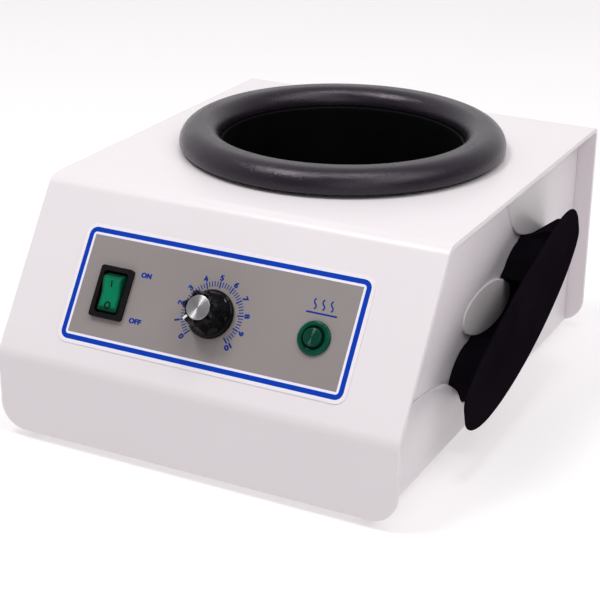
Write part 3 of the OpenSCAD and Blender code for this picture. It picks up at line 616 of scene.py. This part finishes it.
# ------------------------------------------------------------------ collar ring and well
ri = WELL_R + 1.2
z0, z1 = HEIGHT, HEIGHT + RING_H
ring_outline = (
    [(WELL_R + 2.3, z0 + 1.7), (WELL_R + 2.3, z0 + 3.4), (ri, z0 + 3.8)]
    + arc(ri + 7, z1 - 7, 7, 180, 90, 14)
    + arc(RING_R - 8, z1 - 8, 8, 90, 0, 16)
    + arc(RING_R - 1.8, z1 - 8, 1.8, 0, -72, 6)[1:]
    + [(RING_R - 1.35, z0 + 1.32), (RING_R - 1.1, z0 + 1.24), (RING_R - 1.15, z0 + 1.12), (RING_R - 1.6, z0 + 1.05), (WELL_R + 14.3, z0 + 1.1)]
    + [(WELL_R + 14.3, z0), (WELL_R + 13.4, z0), (WELL_R + 13.4, z0 + 1.7)])
new_object("collar", lathe(ring_outline, 224), [MATS["grey_plastic"]], "housing", ["collar_ring"], angle=40,
           matrix=Matrix.Translation(P(0, WELL_Y, 0)))
pot = ([(0, 36), (WELL_R - 2, 36)] + arc(WELL_R - 2, 40, 4, -90, 0, 6)[1:]
       + [(WELL_R + 2, 98), (WELL_R + 13.2, 98), (WELL_R + 13.2, 99.5), (WELL_R + 2, 99.5)]
       + arc(WELL_R + 1, 100.0, 1.0, 0, 180, 6)
       + [(WELL_R, 60)] + arc(WELL_R - 3, 41, 3, 0, -90, 6) + [(0, 38)])
new_object("well_pot", lathe(pot, 192), [MATS["black_anodised"]], "housing", ["heating_well"], angle=40,
           matrix=Matrix.Translation(P(0, WELL_Y, 0)))

# ------------------------------------------------------------------ face label: film, blue frame, pale line, grey field
film_t = 0.3


def band_plate(bm, loops, mats, holes, z):
    """flat bands between nested outlines with equal point counts"""
    rows = [[bm.verts.new((x * MM, y * MM, zz * MM)) for x, y in lp] for lp, zz in loops]
    n = len(rows[0])
    for a, b, m in zip(rows, rows[1:], mats):
        for i in range(n):
            f = bm.faces.new((a[i], a[(i + 1) % n], b[(i + 1) % n], b[i]))
            f.material_index = m
    return rows


bm = bmesh.new()
cy = 35.0
loops = [
    (rounded_rect(130, 50.5, 4.5, 6, 0, cy), 0.0),
    (rounded_rect(130, 50.5, 4.5, 6, 0, cy), 0.24),
    (rounded_rect(129.9, 50.4, 4.45, 6, 0, cy), film_t),
    (rounded_rect(127, 47.5, 3.4, 6, 0, cy), film_t),
    (rounded_rect(122.9, 43.4, 1.4, 6, 0, cy), film_t),
    (rounded_rect(120.9, 41.4, 0.3, 6, 0, cy), film_t),
]
rows = band_plate(bm, loops, [0, 0, 0, 1, 2], (), film_t)
# the grey field has the three control openings
field = rows[-1]
edges = [bm.edges.get((field[i], field[(i + 1) % len(field)])) for i in range(len(field))]
hole_loops = []
for pts in (rounded_rect(12.9, 19.2, 0.6, 3, *SWITCH),
            [(DIAL[0] + 5.1 * math.cos(2 * math.pi * k / 48), DIAL[1] + 5.1 * math.sin(2 * math.pi * k / 48)) for k in range(48)],
            [(LAMP[0] + 5.1 * math.cos(2 * math.pi * k / 48), LAMP[1] + 5.1 * math.sin(2 * math.pi * k / 48)) for k in range(48)]):
    top = [bm.verts.new((x * MM, y * MM, film_t * MM)) for x, y in pts]
    low = [bm.verts.new((x * MM, y * MM, 0)) for x, y in pts]
    n = len(top)
    for i in range(n):
        edges.append(bm.edges.new((top[i], top[(i + 1) % n])))
        bm.faces.new((top[i], top[(i + 1) % n], low[(i + 1) % n], low[i])).material_index = 3
    hole_loops.append(low)
r = bmesh.ops.triangle_fill(bm, edges=edges, use_beauty=True)
for g in r["geom"]:
    if isinstance(g, bmesh.types.BMFace):
        g.material_index = 3
under = [bm.edges.get((rows[0][i], rows[0][(i + 1) % len(rows[0])])) for i in range(len(rows[0]))]
for low in hole_loops:
    under += [bm.edges.get((low[i], low[(i + 1) % len(low)])) for i in range(len(low))]
bmesh.ops.triangle_fill(bm, edges=under, use_beauty=True)
new_object("face_label", bm, [FILM_EDGE, BLUE, WHITE_PRINT, MATS["label_film"]], "housing", ["control_label"],
           angle=30, matrix=slope_matrix())


# ------------------------------------------------------------------ printed marks
def add_text(bm, body, cap, x, y, turn=0.0, widen=1.2, bold=0.02, z=film_t, thick=0.03, space=1.0, lean=0.0):
    cu = bpy.data.curves.new("t", "FONT")
    cu.body, cu.size, cu.align_x, cu.align_y = body, 1.0, "CENTER", "BOTTOM_BASELINE"
    cu.offset = bold
    cu.extrude = thick * 0.5 / cap * 0.7
    cu.space_character = space
    cu.resolution_u = 6
    ob = bpy.data.objects.new("t", cu)
    scene.collection.objects.link(ob)
    bpy.context.view_layer.update()
    me = bpy.data.meshes.new_from_object(ob.evaluated_get(bpy.context.evaluated_depsgraph_get()))
    # capital height of the built-in face is near 0.70 of the size
    k = cap / 0.70 * MM
    m = (Matrix.Translation((x * MM, y * MM, (z + thick * 0.5) * MM)) @ Matrix.Rotation(math.radians(turn), 4, "Z")
         @ Matrix.Translation((0, -cap / 2 * MM, 0)) @ Matrix.Diagonal((k * widen, k, k, 1)))
    me.transform(m)
    bm.from_mesh(me)
    bpy.data.objects.remove(ob)
    bpy.data.curves.remove(cu)
    bpy.data.meshes.remove(me)


def bold_text(bm, body, cap, x, y, turn=0.0, strike=0.07, **kw):
    """struck twice, side by side, for a heavy printed stroke"""
    c, q = math.cos(math.radians(turn)) * strike, math.sin(math.radians(turn)) * strike
    add_text(bm, body, cap, x - c, y - q, turn=turn, **kw)
    add_text(bm, body, cap, x + c, y + q, turn=turn, z=film_t + 0.004, **kw)


def bar(bm, x0, y0, x1, y1, w, z=film_t, thick=0.03):
    a, b = Vector((x0, y0)), Vector((x1, y1))
    d = (b - a).normalized()
    n = Vector((-d.y, d.x)) * w / 2
    prism(bm, [tuple(a + n), tuple(a - n), tuple(b - n), tuple(b + n)], z + 0.002, z + thick)


bm = bmesh.new()
for k in range(11):
    ang = -135.5 + 27.1 * k
    t = math.radians(ang)
    bold_text(bm, str(k), 2.15, DIAL[0] + 15.2 * math.sin(t), DIAL[1] + 15.2 * math.cos(t), turn=-ang, widen=1.12, bold=0.040, strike=0.08)
bold_text(bm, "ON", 1.95, -32.2, 42.9, widen=1.02, bold=0.050, space=1.1, strike=0.09)
bold_text(bm, "OFF", 1.95, -31.6, 23.9, widen=1.04, bold=0.050, space=1.1, strike=0.09)
for k in range(51):
    ang = math.radians(-135.5 + 271 * k / 50)
    major = k % 5 == 0
    r0, r1, w = (10.9, 13.7, 0.60) if major else (11.5, 13.6, 0.40)
    bar(bm, DIAL[0] + r0 * math.sin(ang), DIAL[1] + r0 * math.cos(ang), DIAL[0] + r1 * math.sin(ang), DIAL[1] + r1 * math.cos(ang), w)
# heat pictogram over the lamp: three rising waves over a line
for i, x in enumerate((-3.6, 0.0, 3.6)):
    pts = [(46.2 + x + 0.62 * math.sin(2 * math.pi * t / 14), 43.6 + 4.2 * t / 14) for t in range(15)]
    for a, b in zip(pts, pts[1:]):
        bar(bm, *a, *b, 0.62)
bar(bm, 46.2 - 6.6, 42.2, 46.2 + 6.6, 42.2, 0.7)
new_object("panel_print", bm, [BLUE_TEXT], "housing", angle=30, matrix=slope_matrix())

# ------------------------------------------------------------------ knob: fluted body on a skirt, spun cap, white pointer
POINT_A = math.radians(225.5)


def flute(th, r, h):
    if h < 4.3 or h > 12.95:
        return r
    w = ((th - POINT_A) * 7 / (2 * math.pi)) % 1.0
    d = abs(w - 0.5) * 2          # 0 in the middle of a flute, 1 on a lobe
    depth = 1.45 * max(0.0, 1 - (d / 0.74) ** 2)
    fade = min(1.0, max(0.0, (h - 4.3) / 1.6)) ** 0.5
    return r - depth * fade


knob_outline = (
    [(0, 3.6), (5.4, 3.6), (5.4, 3.3), (8.3, 3.3), (8.3, 0.9), (9.5, 0.9), (9.9, 1.25), (9.9, 2.3)]
    + arc(9.1, 2.3, 0.8, 0, 70, 5)[1:]
    + [(9.1, 3.35), (8.95, 3.9), (8.85, 4.3), (8.72, 4.9), (8.6, 5.6), (8.45, 6.6), (8.25, 7.8), (8.05, 9.0), (7.85, 10.2), (7.7, 11.2)]
    + arc(7.15, 11.45, 0.55, 5, 50, 4)
    + arc(5.95, 12.35, 0.55, 58, 86, 3)
    + [(5.35, 12.9), (5.15, 12.8), (5.1, 12.35), (0, 12.35)])
knob = new_object("knob_body", lathe(knob_outline, 252, flute), [MATS["knob_plastic"]], "dial", ["knob"], angle=42,
                  matrix=slope_matrix(*DIAL, 0))
cap_outline = [(0, 12.4), (4.9, 12.4), (4.95, 12.9), (4.95, 13.15)] + arc(4.7, 13.2, 0.25, 0, 80, 4) + [(4.3, 13.47), (2.4, 13.44), (0.4, 13.43), (0, 13.40)]
new_object("spun_cap", lathe(cap_outline, 128), [MATS["brushed_cap"]], "dial", ["knob_cap"], angle=40,
           matrix=slope_matrix(*DIAL, 0))
bm = bmesh.new()
# pointer: an inlaid line across the top rim and down the lobe
ca, sa = math.cos(POINT_A), math.sin(POINT_A)
path = [(5.45, 12.93), (6.6, 12.93), (7.15, 12.80), (7.55, 12.40), (7.74, 11.8), (7.86, 10.6), (8.15, 8.8), (8.5, 6.6), (8.8, 4.9)]
prev = None
for r0, h0 in path:
    o = Vector((ca * r0, sa * r0, h0))
    n = Vector((-sa, ca, 0)) * 0.46
    up = Vector((0, 0, 0.12)) if h0 > 12.6 else Vector((ca * 0.12, sa * 0.12, 0.02))
    ring = [bm.verts.new((o + a * n + b * up) * MM) for a, b in ((1, -1), (-1, -1), (-1, 0.6), (-0.7, 1), (0.7, 1), (1, 0.6))]
    if prev:
        for i in range(6):
            bm.faces.new((prev[i], prev[(i + 1) % 6], ring[(i + 1) % 6], ring[i]))
    else:
        bm.faces.new(list(reversed(ring)))
    prev = ring
bm.faces.new(prev)
new_object("knob_pointer", bm, [POINTER], "dial", angle=40, matrix=slope_matrix(*DIAL, 0))

# ------------------------------------------------------------------ rocker with I and O
TOP, RR = 4.15, 8.45
V = math.tan(math.radians(9))


def rocker():
    bm = bmesh.new()
    # side outline in (s, h) about the pivot, at mid travel
    sc = [x for x in np.linspace(-6.3, 6.3, 41)]
    top = []
    for s in sc:
        k = abs(s)
        dish = V * max(0.0, k - 2.0) + V * min(k, 2.0) ** 2 / 4.0
        edge = max(0.0, k - 5.5)
        top.append((s, TOP + 0.16 + dish - 0.30 * edge ** 2))
    a_end = math.atan2(top[-1][1], top[-1][0])
    right = [(RR * math.cos(a), RR * math.sin(a)) for a in np.linspace(a_end - 0.02, math.radians(-3.5), 12)]
    low = [(5, -4.5), (-5, -4.5)]
    left = [(-x, y) for x, y in reversed(right)]
    outline = top + right + low + left
    n = len(outline)
    w = 4.45
    xs = [(-w, 0.45), (-w + 0.18, 0.12), (-w + 0.45, 0.0)] + [(x, -0.10 * (1 - (x / w) ** 2)) for x in np.linspace(-w + 1.2, w - 1.2, 9)] \
        + [(w - 0.45, 0.0), (w - 0.18, 0.12), (w, 0.45)]
    rows = []
    for x, sink in xs:
        row = []
        for s, h in outline:
            l = math.hypot(s, h)
            q = 1 - (sink / l if h > -3 else 0)
            row.append(bm.verts.new((x * MM, s * q * MM, h * q * MM)))
        rows.append(row)
    for a, b in zip(rows, rows[1:]):
        for i in range(n):
            bm.faces.new((a[i], a[(i + 1) % n], b[(i + 1) % n], b[i]))
    bm.faces.new(rows[0])
    bm.faces.new(list(reversed(rows[-1])))
    # trunnion pins
    for sx in (-1, 1):
        ring0 = [bm.verts.new((sx * 5.3 * MM, 1.2 * math.cos(t) * MM, 1.2 * math.sin(t) * MM)) for t in np.linspace(0, 2 * math.pi, 24, endpoint=False)]
        ring1 = [bm.verts.new((sx * 6.2 * MM, v.co.y, v.co.z)) for v in ring0]
        for i in range(24):
            bm.faces.new((ring0[i], ring0[(i + 1) % 24], ring1[(i + 1) % 24], ring1[i]))
        bm.faces.new(ring0)
        bm.faces.new(ring1)
    return bm


rock_m = slope_matrix(*SWITCH, PIVOT_H) @ Matrix.Rotation(math.radians(9), 4, "X")
new_object("green_rocker", rocker(), [MATS["green_plastic"]], "rocker", ["switch_rocker"], angle=38, matrix=rock_m)
bm = bmesh.new()
zt = TOP + 0.16 - 0.02
tilt = lambda s: zt + V * max(0.0, abs(s) - 2.0) + V * min(abs(s), 2.0) ** 2 / 4.0 + 0.10


def on_rocker(b, sgn):
    """raises flat marks onto the rocker's dished top"""
    for v in b.verts:
        s = v.co.y / MM
        v.co.z += tilt(s) * MM


bI = bmesh.new()
prism(bI, [(-0.26, 3.0), (0.26, 3.0), (0.26, 5.5), (-0.26, 5.5)], 0, 0.06)
n = 40
outer = [(1.45 * math.cos(2 * math.pi * k / n), -4.6 + 1.55 * math.sin(2 * math.pi * k / n)) for k in range(n)]
inner = [(0.85 * math.cos(2 * math.pi * k / n), -4.6 + 0.95 * math.sin(2 * math.pi * k / n)) for k in range(n)]
rows = [[bI.verts.new((x * MM, y * MM, z * MM)) for x, y in pts] for pts, z in ((outer, 0), (outer, 0.06), (inner, 0.06), (inner, 0))]
for a, b in zip(rows, rows[1:] + rows[:1]):
    for i in range(n):
        bI.faces.new((a[i], a[(i + 1) % n], b[(i + 1) % n], b[i]))
on_rocker(bI, 1)
new_object("rocker_marks", bI, [DARK_PRINT], "rocker", angle=40, matrix=rock_m)
bm.free()

# ------------------------------------------------------------------ lamp: flanged lens with concentric ribs
lens = [(0, -8), (4.6, -8), (4.6, film_t), (6.85, film_t), (6.9, 0.45), (6.9, 0.8)]
lens += arc(6.0, 0.76, 0.9, 14, 86, 7)
lens += [(5.5, 1.66), (4.75, 1.66), (4.5, 1.55), (4.3, 1.2), (4.1, 1.15), (3.95, 1.4), (3.85, 2.2), (3.7, 2.75), (3.45, 3.05)]
for k in range(5):
    r0 = 3.2 - 0.62 * k
    hh = 3.08 + 0.035 * k
    lens += [(r0, hh), (r0 - 0.16, hh + 0.10), (r0 - 0.34, hh + 0.07), (r0 - 0.46, hh - 0.01)]
lens += [(0.1, 3.24), (0, 3.24)]
new_object("lamp_glass", lathe(lens, 128), [MATS["green_lens"]], "housing", ["lamp_lens", "lamp_body"], angle=50,
           matrix=slope_matrix(*LAMP, 0))

# ------------------------------------------------------------------ floor and light
bm = bmesh.new()
bmesh.ops.create_grid(bm, x_segments=2, y_segments=2, size=6)
me = bpy.data.meshes.new("floor")
bm.to_mesh(me)
bm.free()
floor = bpy.data.objects.new("floor", me)
scene.collection.objects.link(floor)
FLOOR = Mat("floor", (0.5, 0.5, 0.5), 0.8, spec=0.05).mottle(0.006, 3).uneven(0.05, 4).bump(30, 0.02, 0.0005)
FLOOR.b.inputs["Emission Color"].default_value = (1, 0.955, 0.97, 1)
FLOOR.b.inputs["Emission Strength"].default_value = 0.50
me.materials.append(FLOOR.m)

world = bpy.data.worlds.new("world")
scene.world = world
world.use_nodes = True
wt = world.node_tree
bg = wt.nodes["Background"]
bg.inputs[0].default_value = (1.0, 0.985, 0.995, 1)
wc = wt.nodes.new("ShaderNodeTexCoord")
wd = wt.nodes.new("ShaderNodeVectorMath")
wd.operation = "DOT_PRODUCT"
wt.links.new(wc.outputs["Generated"], wd.inputs[0])
wd.inputs[1].default_value = (0.70, -0.68, 0.20)
wm = wt.nodes.new("ShaderNodeMapRange")
wm.interpolation_type = "SMOOTHSTEP"
for k, v in (("From Min", -1.0), ("From Max", 1.0), ("To Min", 0.86), ("To Max", 0.17)):
    wm.inputs[k].default_value = v
wt.links.new(wd.outputs["Value"], wm.inputs["Value"])
wt.links.new(wm.outputs[0], bg.inputs[1])


def area(name, loc, target, size, power, colour=(1, 1, 1), size_y=None):
    d = bpy.data.lights.new(name, "AREA")
    d.energy, d.color, d.size = power, colour, size
    if size_y:
        d.shape, d.size_y = "RECTANGLE", size_y
    ob = bpy.data.objects.new(name, d)
    scene.collection.objects.link(ob)
    ob.location = loc
    ob.rotation_euler = (Vector(target) - Vector(loc)).to_track_quat("-Z", "Y").to_euler()
    return ob


area("key", (-0.40, -0.38, 1.28), (0, 0, 0), 0.36, 7.6)
area("overhead", (0.18, -0.05, 1.30), (0, 0, 0), 0.26, 3.0)
area("overhead_right", (0.80, -0.15, 1.10), (0, 0, 0), 0.8, 5.2)
area("front_right", (0.95, -1.20, 0.80), (0, 0, 0.05), 1.1, 4.0)
